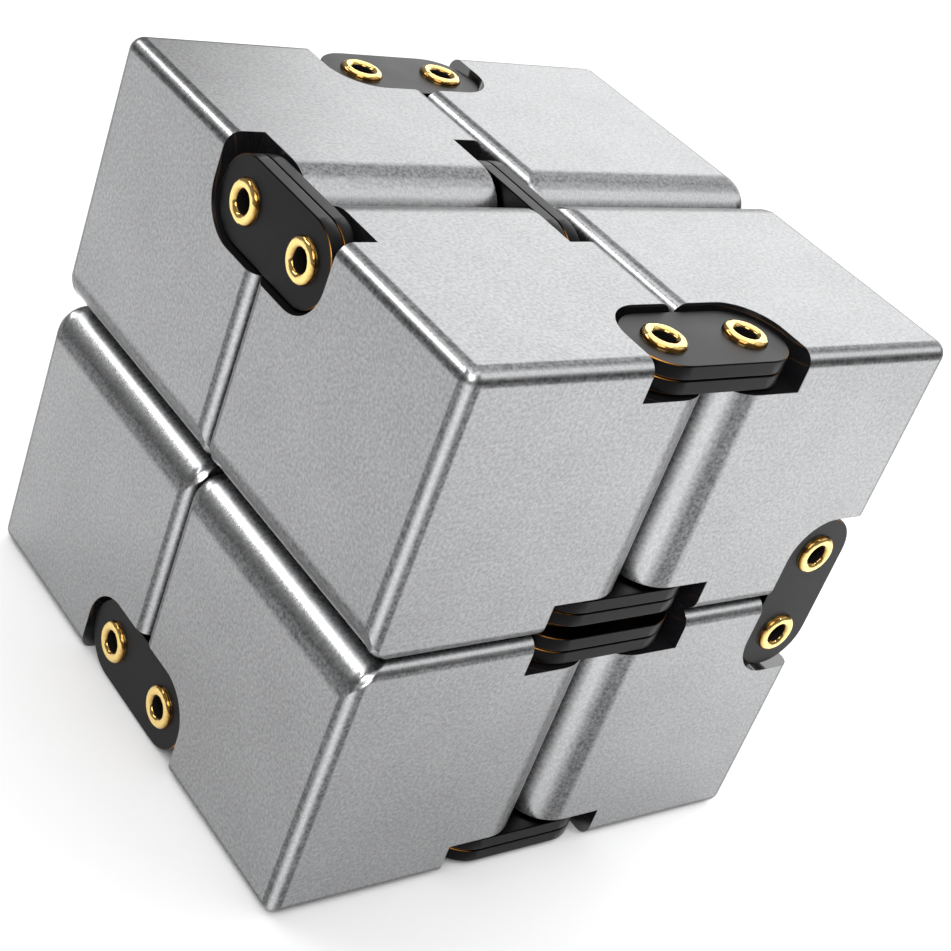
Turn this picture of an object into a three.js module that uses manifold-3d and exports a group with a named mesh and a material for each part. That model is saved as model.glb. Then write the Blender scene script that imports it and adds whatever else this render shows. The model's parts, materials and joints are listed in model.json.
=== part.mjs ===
// Infinity cube: eight aluminium blocks in a closed ring, joined by eight double-pivot hinges.
// Each hinge has a link at both ends of its line and two hollow pins through the blocks.
// Millimetres, +Z up, -Y the front, origin at the centre of the underside.
import * as THREE from "three";
import { mergeVertices } from "three/addons/utils/BufferGeometryUtils.js";
import Module from "manifold-3d";

// Driving dimensions
const CUBE = 40; // across the closed cube
const SEAM = 0.2; // gap between neighbouring blocks
const HINGE_EDGE_RADIUS = 3.1; // edges that roll past each other at a hinge
const FOLD_EDGE_RADIUS = 2.75; // edges that meet on a fold line where there is no hinge
const EDGE_RADIUS = 1.0; // all the other edges
const PIN_FROM_SEAM = 3.4; // pin axis to the middle of the seam
const PIN_FROM_FACE = 3.05; // pin axis to the outer face
const PIN_RADIUS = 1.1;
const PIN_HOLE_RADIUS = 0.72;
const EYELET_RADIUS = 1.5; // rolled-over rim of a pin
const EYELET_RECESS = 0.05; // rim below the block's end face
const EYELET_SHOULDER = 0.15; // rounding of the rim
const BORE_RADIUS = 1.2; // pin hole in a block
const POCKET_RADIUS = 3.15; // about the pin axis
const POCKET_DEPTH = 2.65;
const LINK_RADIUS = 2.88; // round end of a link plate
const LINK_RECESS = 0.4; // outer plate below the block's end face
const PLATE_THICKNESS = 0.97;
const PLATE_GAP = 0.06; // between the two plates, and under a rim
const PLATE_HOLE_RADIUS = 1.25;

const BIG_ARC_STEPS = 7; // quarter circle of a hinge edge or pocket
const SMALL_ARC_STEPS = 3;
const LINK_ARC_STEPS = 6; // half circle
const BORE_SIDES = 12;
const PLATE_HOLE_SIDES = 8;
const PIN_SIDES = 10;
const OVERCUT = 1; // how far a cutter stands out of the block

const HALF = (CUBE - SEAM) / 4; // half of one block
const CENTRE = (CUBE + SEAM) / 4; // block centre to the middle planes of the cube
const PIN_ACROSS = PIN_FROM_SEAM - CENTRE; // pin axis from the block centre, across the seam
const PIN_UP = HALF - PIN_FROM_FACE; // and towards the outer face

const wasm = await Module();
wasm.setup();

const aluminium = () => new THREE.MeshStandardMaterial({ color: 0xc6c8cb, roughness: 0.45, metalness: 0.9 });
const black = () => new THREE.MeshStandardMaterial({ color: 0x1d1d1f, roughness: 0.4, metalness: 0.2 });
const gold = () => new THREE.MeshStandardMaterial({ color: 0xd9a93c, roughness: 0.2, metalness: 1 });

const AXES = {
  x: new THREE.Vector3(1, 0, 0),
  y: new THREE.Vector3(0, 1, 0),
  z: new THREE.Vector3(0, 0, 1),
};

// Words for the two ends of each axis.
const SIDES = { x: ["left", "right"], y: ["front", "back"], z: ["lower", "upper"] };
const sideWord = (axis, sign) => SIDES[axis][sign > 0 ? 1 : 0];

// Geometry to a manifold-3d solid and back.
function toSolid(geometry) {
  const bare = geometry.clone().deleteAttribute("normal").deleteAttribute("uv");
  const merged = mergeVertices(bare, 1e-4);
  const vertProperties = merged.attributes.position.array;
  const triVerts = new Uint32Array(merged.index.array);
  return new wasm.Manifold(new wasm.Mesh({ numProp: 3, vertProperties, triVerts }));
}

function toGeometry(solid) {
  const { vertProperties, triVerts } = solid.getMesh();
  const geometry = new THREE.BufferGeometry();
  geometry.setAttribute("position", new THREE.BufferAttribute(vertProperties, 3));
  geometry.setIndex(new THREE.BufferAttribute(triVerts, 1));
  geometry.computeVertexNormals();
  return geometry;
}

function arc(x, y, radius, start, end, steps) {
  return Array.from({ length: steps + 1 }, (_, i) => {
    const angle = start + ((end - start) * i) / steps;
    return new THREE.Vector2(x + radius * Math.cos(angle), y + radius * Math.sin(angle));
  });
}

// A prism on the XY plane, from z = bottom to z = top.
function prism(outline, bottom, top, holes = []) {
  const shape = new THREE.Shape(outline);
  shape.holes = holes.map((hole) => new THREE.Path(hole));
  const options = { depth: top - bottom, bevelEnabled: false };
  return new THREE.ExtrudeGeometry(shape, options).translate(0, 0, bottom);
}

// Square section of a block. The corner at -x, +y takes the large radius.
function blockSection(largeRadius) {
  const corners = [
    [1, 1, EDGE_RADIUS, SMALL_ARC_STEPS],
    [-1, 1, largeRadius, BIG_ARC_STEPS],
    [-1, -1, EDGE_RADIUS, SMALL_ARC_STEPS],
    [1, -1, EDGE_RADIUS, SMALL_ARC_STEPS],
  ];
  return corners.flatMap(([sx, sy, radius, steps], i) => {
    const start = (i * Math.PI) / 2;
    const inset = HALF - radius;
    return arc(sx * inset, sy * inset, radius, start, start + Math.PI / 2, steps);
  });
}

// The pockets at both ends of a hinge edge and the bore between them, as cutters.
function hingeCutters() {
  const open = HALF + OVERCUT;
  const outline = [
    new THREE.Vector2(-open, open),
    new THREE.Vector2(-open, PIN_UP - POCKET_RADIUS),
    ...arc(PIN_ACROSS, PIN_UP, POCKET_RADIUS, -Math.PI / 2, 0, BIG_ARC_STEPS),
    new THREE.Vector2(PIN_ACROSS + POCKET_RADIUS, open),
  ];
  const floor = HALF - POCKET_DEPTH;
  const bore = new THREE.CylinderGeometry(BORE_RADIUS, BORE_RADIUS, 2 * open, BORE_SIDES);
  bore.rotateX(Math.PI / 2).translate(PIN_ACROSS, PIN_UP, 0);
  return [prism(outline, floor, open), prism(outline, -open, -floor), bore];
}

// One block about its centre, its three hinge and fold edges turned cyclically from axis to axis:
// hinge edges along X and Z, the fold edge along Y.
function blockGeometry() {
  const { x, y, z } = AXES;
  const alongX = new THREE.Matrix4().makeBasis(y, z, x);
  const alongY = new THREE.Matrix4().makeBasis(z, x, y);
  const alongZ = new THREE.Matrix4().makeBasis(x, y, z);
  const hingeBar = prism(blockSection(HINGE_EDGE_RADIUS), -HALF, HALF);
  const foldBar = prism(blockSection(FOLD_EDGE_RADIUS), -HALF, HALF);
  let block = toSolid(hingeBar.clone().applyMatrix4(alongX))
    .intersect(toSolid(hingeBar.clone().applyMatrix4(alongZ)))
    .intersect(toSolid(foldBar.applyMatrix4(alongY)));
  for (const turn of [alongX, alongZ])
    for (const cutter of hingeCutters())
      block = block.subtract(toSolid(cutter.applyMatrix4(turn)));
  return toGeometry(block);
}

// The same block in the other hand.
function mirrored(geometry) {
  const copy = geometry.clone().scale(-1, 1, 1);
  const index = copy.index.array;
  for (let i = 0; i < index.length; i += 3)
    [index[i + 1], index[i + 2]] = [index[i + 2], index[i + 1]];
  copy.computeVertexNormals();
  return copy;
}

// A block in the eighth of the cube that the three signs name. Right-hand blocks are the left-hand
// design turned about its diagonal, so that their hinge edges run along Z and Y.
function makeBlock(geometries, sx, sy, sz) {
  const hand = sx * sy * sz;
  const away = { x: AXES.x.clone(), y: AXES.y.clone(), z: AXES.z.clone() };
  away.x.multiplyScalar(sx);
  away.y.multiplyScalar(sy);
  away.z.multiplyScalar(sz);
  const basis = sx < 0 ? [away.x, away.y, away.z] : [away.z, away.x, away.y];
  basis[0].multiplyScalar(hand);
  const mesh = new THREE.Mesh(hand > 0 ? geometries.plain : geometries.mirrored, aluminium());
  mesh.quaternion.setFromRotationMatrix(new THREE.Matrix4().makeBasis(...basis));
  mesh.position.set(sx * CENTRE, sy * CENTRE, CUBE / 2 + sz * CENTRE);
  mesh.name = `${sideWord("y", sy)}_${sideWord("x", sx)}_${sideWord("z", sz)}_block`;
  return mesh;
}

// A link plate with two pin holes, resting on z = 0.
function plateGeometry() {
  const p = PIN_FROM_SEAM;
  const quarter = Math.PI / 2;
  const outline = [
    ...arc(p, 0, LINK_RADIUS, -quarter, quarter, LINK_ARC_STEPS),
    ...arc(-p, 0, LINK_RADIUS, quarter, 3 * quarter, LINK_ARC_STEPS),
  ];
  const hole = (x) =>
    arc(x, 0, PLATE_HOLE_RADIUS, 2 * Math.PI, 0, PLATE_HOLE_SIDES).slice(0, -1);
  return prism(outline, 0, PLATE_THICKNESS, [hole(-p), hole(p)]);
}

// Rolled rim at the upper end of a tube, from the bore round to the shank.
function rimProfile() {
  const top = HALF - EYELET_RECESS;
  const under = HALF - LINK_RECESS + PLATE_GAP;
  return [
    [PIN_HOLE_RADIUS, top],
    [EYELET_RADIUS - EYELET_SHOULDER, top],
    [EYELET_RADIUS, top - EYELET_SHOULDER],
    [EYELET_RADIUS, under],
    [PIN_RADIUS, under],
  ];
}

function turned(profile) {
  const points = [...profile, profile[0]].reverse().map(([r, h]) => new THREE.Vector2(r, h));
  return new THREE.LatheGeometry(points, PIN_SIDES).rotateX(Math.PI / 2);
}

// A hollow pin with a rim at both ends.
function pinGeometry() {
  const rim = rimProfile();
  const otherRim = rim.map(([r, h]) => [r, -h]).reverse();
  return turned([...rim, ...otherRim]);
}

// At the open pivot the rims and the shank part: a rim lines the two plates of its link,
const STACK_BOTTOM = HALF - LINK_RECESS - 2 * PLATE_THICKNESS - PLATE_GAP;
function eyeletGeometry() {
  return turned([...rimProfile(), [PIN_RADIUS, STACK_BOTTOM], [PIN_HOLE_RADIUS, STACK_BOTTOM]]);
}

// and the shank stays in the block's bore, just below the pocket floors.
function shankGeometry() {
  const end = HALF - POCKET_DEPTH - PLATE_GAP;
  return turned([
    [PIN_HOLE_RADIUS, end],
    [PIN_RADIUS, end],
    [PIN_RADIUS, -end],
    [PIN_HOLE_RADIUS, -end],
  ]);
}

// Each hinge crosses a seam in an outer face: the axis across the seam, the outer face's axis and
// side, and the axis that the pins run along with the half of the cube that they are in.
const HINGES = [
  { name: "top", across: "y", out: "z", face: 1, along: "x", half: -1, openPivot: -1 },
  { name: "bottom", across: "y", out: "z", face: -1, along: "x", half: -1 },
  { name: "front_upper", across: "x", out: "y", face: -1, along: "z", half: 1 },
  { name: "front_lower", across: "x", out: "y", face: -1, along: "z", half: -1 },
  { name: "back_upper", across: "x", out: "y", face: 1, along: "z", half: 1 },
  { name: "back_lower", across: "x", out: "y", face: 1, along: "z", half: -1 },
  { name: "right_front", across: "z", out: "x", face: 1, along: "y", half: -1 },
  { name: "right_back", across: "z", out: "x", face: 1, along: "y", half: 1 },
];

// One hinge in its own frame: X across the seam, Y out of the face, Z along the pins.
function makeHinge({ name, across, out, face, along, half, openPivot }) {
  const hinge = new THREE.Group();
  const outward = AXES[out].clone().multiplyScalar(face);
  const pinAxis = AXES[across].clone().cross(outward);
  const basis = new THREE.Matrix4().makeBasis(AXES[across], outward, pinAxis);
  hinge.quaternion.setFromRotationMatrix(basis);
  hinge.position.set(0, 0, CUBE / 2);
  hinge.position.addScaledVector(outward, CUBE / 2 - PIN_FROM_FACE);
  hinge.position.addScaledVector(AXES[along], half * CENTRE);

  const add = (geometry, material, part, x) => {
    const mesh = new THREE.Mesh(geometry, material);
    mesh.name = `${name}_hinge_${part}`;
    mesh.position.x = x;
    hinge.add(mesh);
    return mesh;
  };

  for (const side of [-1, 1]) {
    const pin = `${sideWord(across, side)}_pin`;
    const geometry = side === openPivot ? shankGeometry() : pinGeometry();
    add(geometry, gold(), pin, side * PIN_FROM_SEAM);
  }

  for (const end of [-1, 1]) {
    const word = sideWord(along, end * pinAxis[along]);
    const flip = end > 0 ? 0 : Math.PI;
    const levels = { inner: STACK_BOTTOM, outer: STACK_BOTTOM + PLATE_THICKNESS + PLATE_GAP };
    for (const [layer, level] of Object.entries(levels)) {
      const plate = add(plateGeometry(), black(), `${word}_${layer}_plate`, 0);
      plate.rotation.x = flip;
      plate.position.z = end * level;
    }
    if (openPivot) {
      const eyelet = add(eyeletGeometry(), gold(), `${word}_eyelet`, openPivot * PIN_FROM_SEAM);
      eyelet.rotation.x = flip;
    }
  }
  return hinge;
}

const cube = new THREE.Group();
const plain = blockGeometry();
const geometries = { plain, mirrored: mirrored(plain) };
for (const sz of [-1, 1])
  for (const sy of [-1, 1])
    for (const sx of [-1, 1]) cube.add(makeBlock(geometries, sx, sy, sz));
for (const hinge of HINGES) cube.add(makeHinge(hinge));

export default cube;
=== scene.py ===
import json
import math

import bmesh
import bpy
from mathutils import Matrix, Vector

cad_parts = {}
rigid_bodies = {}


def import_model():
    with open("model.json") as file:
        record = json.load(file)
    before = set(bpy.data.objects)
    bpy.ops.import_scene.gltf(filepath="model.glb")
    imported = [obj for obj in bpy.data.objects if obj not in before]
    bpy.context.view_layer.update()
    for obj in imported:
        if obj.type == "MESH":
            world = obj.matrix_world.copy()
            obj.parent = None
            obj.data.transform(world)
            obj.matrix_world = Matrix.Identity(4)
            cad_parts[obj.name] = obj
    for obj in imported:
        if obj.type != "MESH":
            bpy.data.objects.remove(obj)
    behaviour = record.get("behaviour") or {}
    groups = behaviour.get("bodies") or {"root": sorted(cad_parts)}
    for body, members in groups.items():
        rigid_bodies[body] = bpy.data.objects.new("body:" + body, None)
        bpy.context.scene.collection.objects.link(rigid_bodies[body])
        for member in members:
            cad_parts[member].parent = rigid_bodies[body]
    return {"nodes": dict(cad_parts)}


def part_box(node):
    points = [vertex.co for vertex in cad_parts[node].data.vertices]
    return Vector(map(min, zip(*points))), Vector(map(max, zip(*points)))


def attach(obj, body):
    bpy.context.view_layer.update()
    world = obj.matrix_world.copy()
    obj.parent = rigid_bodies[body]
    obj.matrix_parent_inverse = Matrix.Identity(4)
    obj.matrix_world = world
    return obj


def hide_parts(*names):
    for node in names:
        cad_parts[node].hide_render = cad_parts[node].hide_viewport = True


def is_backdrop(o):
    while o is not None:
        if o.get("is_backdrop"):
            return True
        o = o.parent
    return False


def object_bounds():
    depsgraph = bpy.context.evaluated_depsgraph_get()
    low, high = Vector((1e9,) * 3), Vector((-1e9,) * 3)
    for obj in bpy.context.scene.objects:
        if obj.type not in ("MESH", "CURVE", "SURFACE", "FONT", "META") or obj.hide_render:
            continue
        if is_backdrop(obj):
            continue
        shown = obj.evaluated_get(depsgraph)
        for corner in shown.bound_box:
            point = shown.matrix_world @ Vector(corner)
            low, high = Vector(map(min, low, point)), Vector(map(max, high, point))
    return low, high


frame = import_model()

cad_low, cad_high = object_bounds()
scene = bpy.context.scene
MM = 0.001
cube_centre = (cad_low + cad_high) / 2


# ---------------------------------------------------------------------------------------------
# Camera: close to the cube, above its front left edge, and rolled so that the cube seems to
# stand on its lower front corner.

EYE = cube_centre + Vector((-84.0, -83.9, 65.3)) * MM
LOOK_RIGHT = Vector((0.7722, -0.5495, 0.3190))
LOOK_UP = Vector((0.0767, 0.5791, 0.8117))
FIELD_OF_VIEW = math.radians(27.17)

back = LOOK_RIGHT.cross(LOOK_UP).normalized()
up = back.cross(LOOK_RIGHT).normalized()
eye_turn = Matrix((LOOK_RIGHT.normalized(), up, back)).transposed()
camera = bpy.data.objects.new("camera", bpy.data.cameras.new("camera"))
camera.data.sensor_width = 36.0
camera.data.angle = FIELD_OF_VIEW
camera.data.clip_start = 0.01
camera.matrix_world = Matrix.Translation(EYE) @ eye_turn.to_4x4()
scene.collection.objects.link(camera)
scene.camera = camera


# ---------------------------------------------------------------------------------------------
# Blasted aluminium: the blocks' outside. Milled from bar, then bead-blasted to an even fine
# grain. The crown of every rounded edge is smoother, and its colour holds a painted highlight
# between two painted dark reflection lines.

class Value:
    """A shader socket that carries a number, with the arithmetic written as Python."""

    def __init__(self, shader, socket):
        self.shader = shader
        self.socket = socket

    def maths(self, operation, first, second):
        node = self.shader.node("ShaderNodeMath", {"operation": operation}, {0: first, 1: second})
        return Value(self.shader, node.outputs[0])

    def __add__(self, other):
        return self.maths("ADD", self, other)

    def __sub__(self, other):
        return self.maths("SUBTRACT", self, other)

    def __rsub__(self, other):
        return self.maths("SUBTRACT", other, self)

    def __mul__(self, other):
        return self.maths("MULTIPLY", self, other)

    __radd__ = __add__
    __rmul__ = __mul__


class Shader:
    """A material's node tree, with its Principled shader ready."""

    def __init__(self, name):
        self.material = bpy.data.materials.new(name)
        self.material.use_nodes = True
        self.tree = self.material.node_tree
        self.surface = self.tree.nodes["Principled BSDF"]
        self.place = self.node("ShaderNodeTexCoord", {}, {}).outputs["Object"]

    def node(self, kind, settings, inputs):
        node = self.tree.nodes.new(kind)
        for key, value in settings.items():
            if key == "stops":
                stops = node.color_ramp.elements
                for i, (at, grey) in enumerate(value):
                    stop = stops[i] if i < 2 else stops.new(at)
                    stop.position = at
                    stop.color = (grey, grey, grey, 1.0)
            else:
                setattr(node, key, value)
        for key, value in inputs.items():
            self.feed(node.inputs[key], value)
        return node

    def feed(self, socket, value):
        if isinstance(value, Value):
            value = value.socket
        if isinstance(value, bpy.types.NodeSocket):
            self.tree.links.new(value, socket)
        else:
            socket.default_value = value

    def noise(self, grain, detail=2.0, roughness=0.5):
        """Noise from 0 to 1 whose features are about grain metres across."""
        inputs = {"Vector": self.place, "Scale": 1 / grain, "Detail": detail, "Roughness": roughness}
        return Value(self, self.node("ShaderNodeTexNoise", {}, inputs).outputs[0])

    def attribute(self, name):
        """A number stored on the mesh's vertices."""
        return Value(self, self.node("ShaderNodeAttribute", {"attribute_name": name}, {}).outputs["Fac"])

    def ramp(self, value, *stops):
        """A number looked up between stops, each given as place and result."""
        node = self.node("ShaderNodeValToRGB", {"stops": stops}, {0: value})
        return Value(self, node.outputs[0])

    def mix(self, factor, first, second):
        node = self.node("ShaderNodeMix", {"data_type": "RGBA"}, {0: factor, 6: first, 7: second})
        return node.outputs[2]

    def bump(self, height, depth):
        inputs = {"Height": height, "Distance": depth, "Strength": 1.0}
        return self.node("ShaderNodeBump", {}, inputs).outputs[0]

    def finish(self, **inputs):
        for name, value in inputs.items():
            socket = name.replace("_", " ").title().replace("Ior", "IOR")
            self.feed(self.surface.inputs[socket], value)
        return self.material


blast = Shader("blasted_aluminium")
beads = blast.noise(0.22 * MM, detail=2.0, roughness=0.6)
patches = blast.noise(5.0 * MM, detail=2.0)
crown = blast.attribute("crown")
speck = blast.ramp(beads, (0.32, 0.0), (0.68, 1.0))
# painted reflection bands: the plain tone on the flats, a painted dark line at each side of an edge's
# crown, and a bright painted highlight along the crown
painted_edge_bands = blast.ramp(crown, (0.0, 0.47), (0.06, 0.36), (0.17, 0.02), (0.46, 0.06), (0.85, 0.95))
# the colour mixes the painted reflection bands with the real blasted grain and random patches
grain_and_painted_bands = painted_edge_bands * 0.68 + speck * 0.22 + patches * 0.10
rubbed = blast.ramp(crown, (0.45, 0.0), (0.90, 1.0))
blasted_aluminium = blast.finish(
    base_color=blast.mix(grain_and_painted_bands, (0.04, 0.041, 0.043, 1.0), (0.63, 0.634, 0.642, 1.0)),
    metallic=1.0,
    roughness=0.34 - 0.10 * rubbed + 0.05 * speck,
    normal=blast.bump(beads, 0.006 * MM),
)


# ---------------------------------------------------------------------------------------------
# Pocket black: the corner pockets in the blocks, coloured a glossy near-black.

pocket_shader = Shader("pocket_black")
# the pockets are coloured near-black, with a faint random ripple in colour, roughness and bump
pocket_ripple = pocket_shader.noise(0.5 * MM)
pocket_black = pocket_shader.finish(
    base_color=pocket_shader.mix(pocket_ripple, (0.006, 0.006, 0.007, 1.0), (0.012, 0.012, 0.013, 1.0)),
    roughness=0.07 + 0.06 * pocket_ripple,
    ior=1.9,
    normal=pocket_shader.bump(pocket_ripple, 0.003 * MM),
)


# ---------------------------------------------------------------------------------------------
# Blocks: eight pieces of aluminium, one design in two hands. The two hinge edges and the fold
# edge have big radii, the others are small. A pocket is milled into both ends of each hinge
# edge, and a bore runs between the pockets.

HINGE_RADIUS = 3.1 * MM
FOLD_RADIUS = 2.75 * MM
EDGE_RADIUS = 1.0 * MM
POCKET_RADIUS = 3.15 * MM
POCKET_DEPTH = 2.65 * MM
BORE_RADIUS = 1.2 * MM
RIM_BREAK = 0.07 * MM
ROUND_STEPS = 10
POCKET_STEPS = 20
OVERCUT = 1.0 * MM
SHARP_ANGLE = math.radians(50)

blocks = [name for name in frame["nodes"] if name.endswith("_block")]
block_low, block_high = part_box("front_left_lower_block")
half = (block_high.x - block_low.x) / 2
block_offset = abs((block_low.x + block_high.x) / 2)

# The pin's axis from the block's centre, across the seam and towards the outer face.
pin_low, pin_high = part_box("front_lower_hinge_left_pin")
pin_across = block_offset - abs(pin_low.x + pin_high.x) / 2
pin_out = abs(pin_low.y + pin_high.y) / 2 - block_offset


def new_object(name, mesh, *materials):
    """An object in the scene, with its mesh's materials in the order of its faces' indices."""
    for material in materials:
        mesh.materials.append(material)
    made = bpy.data.objects.new(name, mesh)
    scene.collection.objects.link(made)
    return made


def evaluated_mesh(source):
    """An object's mesh with its modifiers applied, as a mesh of its own."""
    graph = bpy.context.evaluated_depsgraph_get()
    return bpy.data.meshes.new_from_object(source.evaluated_get(graph))


def cyclic(axis):
    """The matrix that takes X, Y, Z to the two axes after this one and this one, in that order."""
    columns = [Vector((0, 0, 0)) for _ in range(3)]
    for i, column in enumerate(columns):
        column[(axis + 1 + i) % 3] = 1.0
    return Matrix(columns).transposed().to_4x4()


def prism_mesh(name, outline, bottom, top, placing):
    """An outline in X and Y drawn up from bottom to top, then moved by a matrix."""
    bm = bmesh.new()
    face = bm.faces.new([bm.verts.new((x, y, bottom)) for x, y in outline])
    grown = bmesh.ops.extrude_face_region(bm, geom=[face])["geom"]
    lifted = [v for v in grown if isinstance(v, bmesh.types.BMVert)]
    bmesh.ops.translate(bm, verts=lifted, vec=(0, 0, top - bottom))
    bmesh.ops.transform(bm, matrix=placing, verts=bm.verts)
    bmesh.ops.recalc_face_normals(bm, faces=bm.faces)
    mesh = bpy.data.meshes.new(name)
    bm.to_mesh(mesh)
    bm.free()
    return mesh


def arc(x, y, radius, start, end, steps):
    """Points round a centre, from one angle to another."""
    angles = [start + (end - start) * i / steps for i in range(steps + 1)]
    return [(x + radius * math.cos(a), y + radius * math.sin(a)) for a in angles]


def cube_blank(mirror):
    """The plain cube, with each edge's share of the hinge edges' radius stored as its weight."""
    bm = bmesh.new()
    bmesh.ops.create_cube(bm, size=2 * half)
    weight = bm.edges.layers.float.new("bevel_weight_edge")
    for edge in bm.edges:
        middle = (edge.verts[0].co + edge.verts[1].co) / 2
        along = min(range(3), key=lambda k: abs(middle[k]))
        large = middle[(along + 1) % 3] < 0 < middle[(along + 2) % 3]
        radius = EDGE_RADIUS
        if large:
            radius = FOLD_RADIUS if along == 1 else HINGE_RADIUS
        edge[weight] = radius / HINGE_RADIUS
    bmesh.ops.transform(bm, matrix=mirror, verts=bm.verts)
    bmesh.ops.recalc_face_normals(bm, faces=bm.faces)
    mesh = bpy.data.meshes.new("block")
    bm.to_mesh(mesh)
    bm.free()
    return mesh


def cutting_prisms():
    """The outline, bottom and top of each cut along a hinge edge: two pockets and the bore."""
    open_end = half + OVERCUT
    pocket_floor = half - POCKET_DEPTH
    corner = arc(-pin_across, pin_out, POCKET_RADIUS, -math.pi / 2, 0, POCKET_STEPS)
    pocket = [(-open_end, open_end), (-open_end, pin_out - POCKET_RADIUS)]
    pocket += [*corner, (POCKET_RADIUS - pin_across, open_end)]
    bore = arc(-pin_across, pin_out, BORE_RADIUS, 0, 2 * math.pi, 2 * POCKET_STEPS)[:-1]
    return [
        (pocket, pocket_floor, open_end),
        (pocket, -open_end, -pocket_floor),
        (bore, -open_end, open_end),
    ]


def block_template(hand):
    """The block about its centre, with hinge edges along X and Z and the fold edge along Y."""
    mirror = Matrix.Diagonal((hand, 1, 1, 1))
    block = new_object("block_template", cube_blank(mirror), blasted_aluminium, pocket_black)

    rounding = block.modifiers.new("rounding", "BEVEL")
    rounding.limit_method = "WEIGHT"
    rounding.width = HINGE_RADIUS
    rounding.segments = ROUND_STEPS
    rounding.use_clamp_overlap = False

    cutters = []
    for along in (0, 2):
        placing = mirror @ cyclic(along)
        for outline, bottom, top in cutting_prisms():
            prism = prism_mesh("cutter", outline, bottom, top, placing)
            cutter = new_object("cutter", prism, pocket_black)
            cut = block.modifiers.new("cut", "BOOLEAN")
            cut.object = cutter
            cut.solver = "EXACT"
            cut.material_mode = "TRANSFER"
            cutters.append(cutter)

    rims = block.modifiers.new("rims", "BEVEL")
    rims.limit_method = "ANGLE"
    rims.angle_limit = SHARP_ANGLE
    rims.width = RIM_BREAK
    rims.segments = 2

    made = evaluated_mesh(block)
    for spent in (block, *cutters):
        bpy.data.objects.remove(spent)
    mark(made, "crown", [crown_share(way) for way in facings(made)])
    shade(made, sharp_degrees=35)
    return made


def facings(mesh):
    """The way each vertex faces: the faces of the first material around it, summed by area."""
    ways = [Vector((0, 0, 0)) for _ in mesh.vertices]
    for face in mesh.polygons:
        if face.material_index == 0:
            for i in face.vertices:
                ways[i] += face.normal * face.area
    return ways


def crown_share(parts):
    """How far round an edge, 0 on the flats and 1 along the crown."""
    *_, second, first = sorted(abs(part) for part in parts)
    return second / max(first, 1e-12)


def mark(mesh, name, values):
    """Stores a number on each vertex."""
    mesh.attributes.new(name, "FLOAT", "POINT").data.foreach_set("value", values)


def shade(mesh, sharp_degrees):
    mesh.shade_smooth()
    mesh.set_sharp_from_angle(angle=math.radians(sharp_degrees))


def weighted(source):
    """Face-weighted normals, so that wide flats shade flat up to their rounded edges."""
    smoother = source.modifiers.new("normals", "WEIGHTED_NORMAL")
    smoother.keep_sharp = True
    mesh = evaluated_mesh(source)
    source.modifiers.remove(smoother)
    source.data = mesh


templates = {hand: block_template(hand) for hand in (1, -1)}
for name in blocks:
    low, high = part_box(name)
    centre = (low + high) / 2
    # the template's axes point out of the cube, in the order X, Y, Z on the left and Z, X, Y on
    # the right, and X is turned back where the template is the mirrored hand
    sign = [math.copysign(1, c) for c in centre - cube_centre]
    hand = int(sign[0] * sign[1] * sign[2])
    away = [Matrix.Identity(3).col[k] * sign[k] for k in range(3)]
    basis = away if sign[0] < 0 else [away[2], away[0], away[1]]
    basis[0] = basis[0] * hand
    place = Matrix.Translation(centre) @ Matrix(basis).transposed().to_4x4()
    mesh = templates[hand].copy()
    mesh.transform(place)
    block = new_object(name.replace("_block", "_aluminium_block"), mesh)
    weighted(block)
    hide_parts(name)
    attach(block, name)


# ---------------------------------------------------------------------------------------------
# Link plates: stamped brass in a satin black coat, two stacked at each end of a hinge line and
# tumbled so that their edges are soft. A painted dark line runs along every edge, and patches of
# painted orange glint stand in for warm reflections round the plates' ends.

PLATE_EDGE = 0.16 * MM
PLATE_HOLE = 1.2 * MM
END_ROUNDING = 0.999
END_STEPS = 12
HOLE_STEPS = 40
WELD = 0.001 * MM

coat = Shader("black_coat")
grain = coat.noise(0.12 * MM, detail=2.0)
cloud = coat.noise(2.5 * MM)
# painted shade: a near-black line along every edge of the plates
painted_edge_shade = coat.ramp(coat.attribute("crown"), (0.08, 0.0), (0.35, 1.0))
# painted glints: orange patches on the end edges of the plates, standing in for warm reflections
painted_glint_ends = coat.ramp(coat.attribute("rub"), (0.08, 0.0), (0.40, 1.0))
glint_patches = coat.ramp(coat.noise(1.8 * MM), (0.40, 0.1), (0.56, 1.0))
painted_glint = painted_glint_ends * glint_patches
satin = coat.mix(grain * 0.5 + cloud * 0.5, (0.006, 0.006, 0.0065, 1.0), (0.012, 0.012, 0.013, 1.0))
# the satin coat with the painted edge shade laid over it
coat_with_painted_edge_shade = coat.mix(painted_edge_shade, satin, (0.001, 0.001, 0.001, 1.0))
black_coat = coat.finish(
    base_color=coat.mix(painted_glint, coat_with_painted_edge_shade, (0.40, 0.18, 0.04, 1.0)),
    metallic=1.0,
    roughness=0.32 + 0.10 * cloud,
    normal=coat.bump(grain, 0.003 * MM),
)


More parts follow.
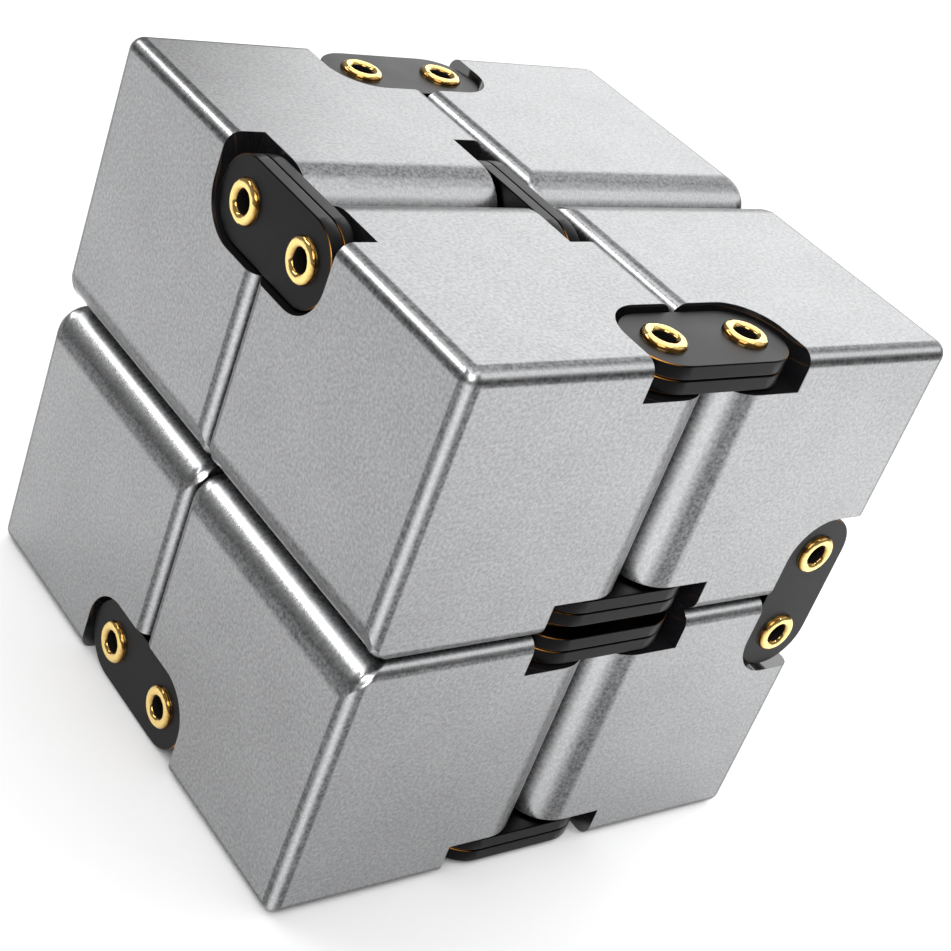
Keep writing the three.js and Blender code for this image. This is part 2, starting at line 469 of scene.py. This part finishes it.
class Geometry:
    """A geometry node tree with named inputs."""

    def __init__(self, name, **sizes):
        self.tree = bpy.data.node_groups.new(name, "GeometryNodeTree")
        self.tree.interface.new_socket("Geometry", in_out="OUTPUT", socket_type="NodeSocketGeometry")
        kinds = {float: "NodeSocketFloat", int: "NodeSocketInt"}
        self.ids = {}
        for size, value in sizes.items():
            kind = kinds.get(type(value), "NodeSocketObject")
            socket = self.tree.interface.new_socket(size, in_out="INPUT", socket_type=kind)
            self.ids[size] = socket.identifier
        self.sizes = sizes
        self.inputs = self.tree.nodes.new("NodeGroupInput").outputs

    def node(self, kind, settings, inputs):
        node = self.tree.nodes.new(kind)
        for key, value in settings.items():
            setattr(node, key, value)
        for key, value in inputs.items():
            for link in value if isinstance(value, list) else [value]:
                if isinstance(link, bpy.types.NodeSocket):
                    self.tree.links.new(link, node.inputs[key])
                else:
                    node.inputs[key].default_value = link
        return node.outputs[0]

    def maths(self, operation, first, second=0.0):
        return self.node("ShaderNodeMath", {"operation": operation}, {0: first, 1: second})

    def vector(self, x=0.0, y=0.0, z=0.0):
        return self.node("ShaderNodeCombineXYZ", {}, {0: x, 1: y, 2: z})

    def row(self, instance, count, axis, spacing):
        """Copies along the named axis, spacing apart, with the row's middle at the origin."""
        start = self.maths("MULTIPLY", self.maths("SUBTRACT", count, 1.0), -0.5)
        line = self.node("GeometryNodeMeshLine", {"mode": "OFFSET"}, {
            "Count": count,
            "Start Location": self.vector(**{axis: self.maths("MULTIPLY", start, spacing)}),
            "Offset": self.vector(**{axis: spacing}),
        })
        return self.node("GeometryNodeInstanceOnPoints", {}, {"Points": line, "Instance": instance})

    def mesh(self, result, material):
        """The tree run on its sizes, as a plain mesh."""
        solid = self.node("GeometryNodeRealizeInstances", {}, {0: result})
        painted = self.node("GeometryNodeSetMaterial", {}, {"Geometry": solid, "Material": material})
        output = self.tree.nodes.new("NodeGroupOutput")
        self.tree.links.new(painted, output.inputs[0])
        carrier = new_object(self.tree.name, bpy.data.meshes.new(self.tree.name))
        runner = carrier.modifiers.new("nodes", "NODES")
        runner.node_group = self.tree
        for size, value in self.sizes.items():
            runner[self.ids[size]] = value
        made = evaluated_mesh(carrier)
        bpy.data.objects.remove(carrier)
        made.materials.clear()
        made.materials.append(material)
        made.polygons.foreach_set("material_index", [0] * len(made.polygons))
        return made


# The hinge's sizes, read from the front upper hinge.
outer_low, outer_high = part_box("front_upper_hinge_upper_outer_plate")
inner_low, inner_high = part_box("front_upper_hinge_upper_inner_plate")
left_low, left_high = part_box("front_upper_hinge_left_pin")
right_low, right_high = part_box("front_upper_hinge_right_pin")
pin_spacing = (right_low.x + right_high.x - left_low.x - left_high.x) / 2
plate_thickness = outer_high.z - outer_low.z
plate_pitch = outer_high.z - inner_high.z
plate_half_width = (outer_high.y - outer_low.y) / 2
line_middle = (left_low.z + left_high.z) / 2
stack_middle = (outer_high.z + inner_low.z) / 2 - line_middle
plates = Geometry(
    "link_plates",
    pin_spacing=pin_spacing,
    half_width=plate_half_width,
    thickness=plate_thickness,
    hole_radius=PLATE_HOLE,
    plate_pitch=plate_pitch,
    stack_spacing=2 * stack_middle,
)
sizes = plates.inputs
width = plates.maths("MULTIPLY", sizes["half_width"], 2.0)
outline = plates.node("GeometryNodeCurvePrimitiveQuadrilateral", {}, {
    "Width": plates.maths("ADD", sizes["pin_spacing"], width),
    "Height": width,
})
outline = plates.node("GeometryNodeFilletCurve", {"mode": "POLY"}, {
    "Curve": outline,
    "Count": END_STEPS,
    "Radius": plates.maths("MULTIPLY", sizes["half_width"], END_ROUNDING),
    "Limit Radius": True,
})
hole = plates.node("GeometryNodeCurvePrimitiveCircle", {}, {
    "Resolution": HOLE_STEPS,
    "Radius": sizes["hole_radius"],
})
holes = plates.row(hole, 2, "x", sizes["pin_spacing"])
holes = plates.node("GeometryNodeRealizeInstances", {}, {0: holes})
face = plates.node("GeometryNodeJoinGeometry", {}, {0: [outline, holes]})
face = plates.node("GeometryNodeFillCurve", {"mode": "NGONS"}, {"Curve": face})
raised = plates.node("GeometryNodeExtrudeMesh", {"mode": "FACES"}, {
    "Mesh": face,
    "Offset Scale": sizes["thickness"],
    "Individual": False,
})
under = plates.node("GeometryNodeFlipFaces", {}, {"Mesh": face})
plate = plates.node("GeometryNodeJoinGeometry", {}, {0: [raised, under]})
plate = plates.node("GeometryNodeMergeByDistance", {}, {"Geometry": plate, "Distance": WELD})
lowered = plates.vector(z=plates.maths("MULTIPLY", sizes["thickness"], -0.5))
plate = plates.node("GeometryNodeTransform", {}, {"Geometry": plate, "Translation": lowered})
stack = plates.row(plate, 2, "z", sizes["plate_pitch"])
both_stacks = plates.row(stack, 2, "z", sizes["stack_spacing"])
plates_mesh = plates.mesh(both_stacks, black_coat)


def soft_edges(mesh, width):
    """Rounds the sharp edges of a finished mesh."""
    carrier = new_object("carrier", mesh)
    rounding = carrier.modifiers.new("soft_edges", "BEVEL")
    rounding.limit_method = "ANGLE"
    rounding.angle_limit = SHARP_ANGLE
    rounding.width = width
    rounding.segments = 3
    made = evaluated_mesh(carrier)
    bpy.data.objects.remove(carrier)
    return made


plates_mesh = soft_edges(plates_mesh, PLATE_EDGE)
crowns = [crown_share((way.z, math.hypot(way.x, way.y))) for way in facings(plates_mesh)]
past_pin = [(abs(v.co.x) - pin_spacing / 2) / plate_half_width for v in plates_mesh.vertices]
mark(plates_mesh, "crown", crowns)
# where the painted orange glints may fall: the end edges beyond the pins
mark(plates_mesh, "rub", [crown * max(past, 0.0) for crown, past in zip(crowns, past_pin)])
shade(plates_mesh, sharp_degrees=40)


def hinge_place(hinge):
    """The matrix from a hinge's own frame, X across the seam, Y out of the face and Z along the
    pins, to the cube, read from the boxes of its plates."""
    members = [n for n in frame["nodes"] if n.startswith(hinge + "_hinge_") and n.endswith("_plate")]
    boxes = [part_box(n) for n in members]
    low = Vector(min(box[0][k] for box in boxes) for k in range(3))
    high = Vector(max(box[1][k] for box in boxes) for k in range(3))
    centre = (low + high) / 2
    across = max(range(3), key=lambda k: -abs(centre[k] - cube_centre[k]))
    out = max(range(3), key=lambda k: abs(centre[k] - cube_centre[k]))
    seam_way = Matrix.Identity(3).col[across].copy()
    out_way = Matrix.Identity(3).col[out] * math.copysign(1, centre[out] - cube_centre[out])
    turn = Matrix((seam_way, out_way, seam_way.cross(out_way))).transposed()
    return Matrix.Translation(centre) @ turn.to_4x4(), members


hinges = (
    "top", "bottom", "front_upper", "front_lower",
    "back_upper", "back_lower", "right_front", "right_back",
)
for hinge in hinges:
    place, members = hinge_place(hinge)
    mesh = plates_mesh.copy()
    mesh.transform(place)
    links = new_object(hinge + "_link_plates", mesh)
    weighted(links)
    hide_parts(*members)
    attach(links, hinge + "_link")


# ---------------------------------------------------------------------------------------------
# Hollow pins: drawn brass tube, gilt and polished, with both ends rolled over the plates into a
# fat round rim. Two hold each hinge together, one through each block.

RIM_RADIUS = 1.5 * MM
SHANK_RADIUS = 1.1 * MM
TUBE_BORE = 0.72 * MM
DARK_REACH = 1.06 * TUBE_BORE
RIM_STEPS = 14
TURN_STEPS = 48

gilt = Shader("gilt_brass")
dents = gilt.noise(0.55 * MM, detail=1.0)
tarnish = gilt.noise(0.30 * MM, detail=3.0)
# painted shade: the rims are bright gold on the crest and dark brown on the flanks by which way the
# surface faces, with random tarnish mixed in
painted_crest_shading_and_tarnish = gilt.ramp(gilt.attribute("crest") * 0.8 + 0.2 * tarnish, (0.52, 0.0), (0.88, 1.0))
gilt_brass = gilt.finish(
    base_color=gilt.mix(painted_crest_shading_and_tarnish, (0.22, 0.10, 0.02, 1.0), (1.0, 0.73, 0.27, 1.0)),
    metallic=1.0,
    roughness=0.08 + 0.08 * tarnish,
    normal=gilt.bump(dents, 0.055 * MM),
)

# painted shade: the inside of each hollow pin is coloured near-black where shade falls in the bore
bore_shader = Shader("dark_bore")
bore_mottle = bore_shader.noise(0.2 * MM)
dark_bore = bore_shader.finish(
    base_color=bore_shader.mix(bore_mottle, (0.002, 0.002, 0.002, 1.0), (0.008, 0.006, 0.005, 1.0)),
    roughness=0.7 + 0.2 * bore_mottle,
    specular_ior_level=0.10,
)

rim_top = left_high.z - line_middle
rim_under = outer_high.z - line_middle


def rolled_rim():
    """The section of a rolled rim in radius and height, from the bore over the top to the shank."""
    middle = (TUBE_BORE + RIM_RADIUS) / 2
    wide = (RIM_RADIUS - TUBE_BORE) / 2
    tall = rim_top - rim_under
    angles = [math.pi - math.pi * i / RIM_STEPS for i in range(RIM_STEPS + 1)]
    rim = [(middle + wide * math.cos(a), rim_under + tall * math.sin(a)) for a in angles]
    return [*rim, (SHANK_RADIUS, rim_under)]


def pin_mesh(name, section, count):
    """Turned pieces of one closed section, given as radius and height, side by side across a seam."""
    profile = bpy.data.curves.new(name, "CURVE")
    profile.dimensions = "3D"
    spline = profile.splines.new("POLY")
    spline.points.add(len(section) - 1)
    for point, (radius, height) in zip(spline.points, section):
        point.co = (radius - RIM_RADIUS, -height, 0.0, 1.0)
    spline.use_cyclic_u = True
    drawn = new_object(name + "_section", profile)
    pins = Geometry(name, section=drawn, spin_radius=RIM_RADIUS, pin_spacing=pin_spacing, count=count)
    sizes = pins.inputs
    section_info = pins.tree.nodes.new("GeometryNodeObjectInfo")
    pins.tree.links.new(sizes["section"], section_info.inputs["Object"])
    rail = pins.node("GeometryNodeCurvePrimitiveCircle", {}, {
        "Resolution": TURN_STEPS,
        "Radius": sizes["spin_radius"],
    })
    turned = pins.node("GeometryNodeCurveToMesh", {}, {
        "Curve": rail,
        "Profile Curve": section_info.outputs["Geometry"],
    })
    spread = pins.row(turned, sizes["count"], "x", sizes["pin_spacing"])
    made = pins.mesh(spread, gilt_brass)
    bpy.data.objects.remove(drawn)
    made.materials.append(dark_bore)
    bm = bmesh.new()
    bm.from_mesh(made)
    bmesh.ops.recalc_face_normals(bm, faces=bm.faces)
    # faces near the pin's axis, inside the bore, take the painted bore shade
    for face in bm.faces:
        middle = face.calc_center_median()
        from_axis = abs(abs(middle.x) - (count - 1) * pin_spacing / 2)
        if math.hypot(from_axis, middle.y) < DARK_REACH:
            face.material_index = 1
    bm.to_mesh(made)
    bm.free()
    mark(made, "crest", [abs(way.z) / max(way.length, 1e-12) for way in facings(made)])
    shade(made, sharp_degrees=50)
    return made


def add_pins(name, template, place, body, *nodes):
    """A copy of finished pins at its place, standing for the given nodes and riding on a body."""
    mesh = template.copy()
    mesh.transform(place)
    pins = new_object(name, mesh)
    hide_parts(*nodes)
    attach(pins, body)


def below(section):
    """The same section at the other end of the pin."""
    return [(radius, -height) for radius, height in reversed(section)]


rim = rolled_rim()
whole_pin = rim + below(rim)
pin_pair = pin_mesh("pins", whole_pin, 2)
for hinge in hinges[1:]:
    place, _ = hinge_place(hinge)
    nodes = [n for n in frame["nodes"] if n.startswith(hinge + "_hinge_") and n.endswith("_pin")]
    add_pins(hinge + "_hollow_pins", pin_pair, place, hinge + "_link", *nodes)


# ---------------------------------------------------------------------------------------------
# Top hinge pins: the back pin is whole. The front pivot is where the ring of hinges is opened,
# so its two rolled rims stay with the link and its shank stays in the front block.

top_place, _ = hinge_place("top")
back_place = top_place @ Matrix.Translation((pin_spacing / 2, 0, 0))
front_place = top_place @ Matrix.Translation((-pin_spacing / 2, 0, 0))
add_pins("top_back_hollow_pin", pin_mesh("back_pin", whole_pin, 1), back_place,
         "top_link", "top_hinge_back_pin")

sleeve_end = inner_low.z - line_middle
sleeve = [*rim, (SHANK_RADIUS, sleeve_end), (TUBE_BORE, sleeve_end)]
shank_low, shank_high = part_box("top_hinge_front_pin")
shank_end = (shank_high.x - shank_low.x) / 2
shank = [(TUBE_BORE, shank_end), (SHANK_RADIUS, shank_end)]
eyelets = {1: sleeve, -1: below(sleeve)}
for side, section in eyelets.items():
    # the hinge's own Z runs towards the left on the top hinge
    word = "right" if side * top_place.col[2].x > 0 else "left"
    add_pins(f"top_front_{word}_eyelet", pin_mesh(word, section, 1), front_place,
             "top_link", f"top_hinge_{word}_eyelet")
add_pins("top_front_shank", pin_mesh("shank", shank + below(shank), 1), front_place,
         "front_left_upper_block", "top_hinge_front_pin")


# ---------------------------------------------------------------------------------------------
# Floor and light: a plain white table top under five soft boxes, one overhead, two behind and
# two in front. A spot washes the table at the front right, and a pale room fills the shadows.

FLOOR_SIZE = 6.0
FLOOR_DROP = 0.05 * MM
BOX_DISTANCE = 0.50
WASH_FROM = Vector((0.13, -0.20, 0.25))
WASH_TO = Vector((0.085, -0.068, 0.0))
WASH_POWER = 4.0
WASH_ANGLE = math.radians(34)
WASH_RADIUS = 0.03
ROOM_GREY = 0.9
ROOM_STRENGTH = 0.30

floor_mesh = bpy.data.meshes.new("floor")
reach = FLOOR_SIZE / 2
quarters = ((-1, -1), (1, -1), (1, 1), (-1, 1))
corners = [(reach * x, reach * y, -FLOOR_DROP) for x, y in quarters]
floor_mesh.from_pydata(corners, [], [(0, 1, 2, 3)])
paper = Shader("white_paper")
mottle = paper.noise(30 * MM)
white_paper = paper.finish(
    base_color=paper.mix(mottle, (0.86, 0.86, 0.86, 1.0), (0.88, 0.88, 0.88, 1.0)),
    roughness=0.8,
)
floor = new_object("floor", floor_mesh, white_paper)
floor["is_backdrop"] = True


def soft_light(name, towards, size, radiance):
    """A soft box facing the cube, given its direction from it, width, height and brightness."""
    lamp = bpy.data.lights.new(name, "AREA")
    lamp.shape = "RECTANGLE"
    lamp.size, lamp.size_y = size
    lamp.energy = math.pi * radiance * size[0] * size[1]
    direction = Vector(towards).normalized()
    holder = bpy.data.objects.new(name, lamp)
    holder.location = cube_centre + direction * BOX_DISTANCE
    holder.rotation_euler = direction.to_track_quat("Z", "Y").to_euler()
    scene.collection.objects.link(holder)


soft_light("overhead_light", (0.10, 0.14, 1.0), (0.60, 0.60), 1.75)
soft_light("back_light", (0.78, 0.46, 0.42), (0.46, 0.34), 1.95)
soft_light("edge_light", (-0.48, 0.62, 0.62), (0.30, 0.07), 8.0)
soft_light("right_light", (0.66, -0.42, 0.62), (0.34, 0.28), 0.9)
soft_light("front_light", (-0.52, -0.50, 0.66), (0.28, 0.28), 6.0)

wash = bpy.data.lights.new("floor_wash", "SPOT")
wash.energy = WASH_POWER
wash.spot_size = WASH_ANGLE
wash.spot_blend = 1.0
wash.shadow_soft_size = WASH_RADIUS
wash_holder = bpy.data.objects.new("floor_wash", wash)
wash_holder.location = WASH_FROM
wash_holder.rotation_euler = (WASH_FROM - WASH_TO).to_track_quat("Z", "Y").to_euler()
scene.collection.objects.link(wash_holder)

room = bpy.data.worlds.new("pale_room")
room.use_nodes = True
walls = room.node_tree.nodes["Background"]
walls.inputs["Color"].default_value = (ROOM_GREY, ROOM_GREY, ROOM_GREY, 1.0)
walls.inputs["Strength"].default_value = ROOM_STRENGTH
scene.world = room
scene.view_settings.view_transform = "Standard"

low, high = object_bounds()
